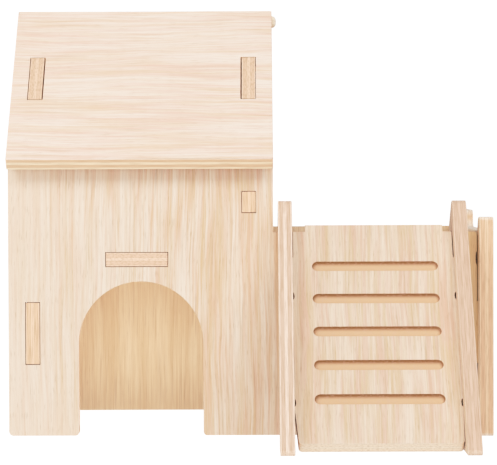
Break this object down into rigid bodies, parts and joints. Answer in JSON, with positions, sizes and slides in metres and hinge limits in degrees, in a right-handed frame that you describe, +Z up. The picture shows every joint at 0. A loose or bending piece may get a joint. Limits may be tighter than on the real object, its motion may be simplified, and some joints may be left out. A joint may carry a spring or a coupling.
{
  "type": "wooden hamster house",
  "caption": "Gabled plywood pet house with arched doorways, an upper floor that runs out to a landing, a lift-off roof and a lift-off ramp with side rails and grip grooves.",
  "frame": {"origin": "bottom centre of the bounding box of the house with its ramp, on the surface that it stands on", "axes": "+X to the right as seen facing the front doorway, towards the landing; +Y from the front doorway towards the back; +Z up"},
  "size_m": [0.208, 0.2246, 0.1859],
  "materials": {
    "panel_plywood": "sanded, unfinished",
    "roof_plywood": "sanded, unfinished",
    "ramp_plywood": "sanded, unfinished",
    "dowel": "sanded, unfinished"
  },
  "bodies": {
    "house": {"front_panel": "panel_plywood", "back_panel": "panel_plywood", "left_wall": "panel_plywood", "right_wall": "panel_plywood", "end_wall": "panel_plywood", "upper_floor": "panel_plywood", "ridge_rod": "dowel"},
    "front_roof": {"roof_front": "roof_plywood"},
    "rear_roof": {"roof_rear": "roof_plywood"},
    "ramp": {"ramp_board": "ramp_plywood", "ramp_left_rail": "ramp_plywood", "ramp_right_rail": "ramp_plywood"}
  },
  "joints": [
    {"name": "front_roof_lift", "type": "slide", "parent": "house", "child": "front_roof", "axis": [0, -0.7071, 0.7071], "range_m": [0, 0.06]},
    {"name": "rear_roof_lift", "type": "slide", "parent": "house", "child": "rear_roof", "axis": [0, 0.7071, 0.7071], "range_m": [0, 0.06]},
    {"name": "ramp_lift", "type": "slide", "parent": "house", "child": "ramp", "axis": [0, 0, 1], "range_m": [0, 0.11]}
  ]
}
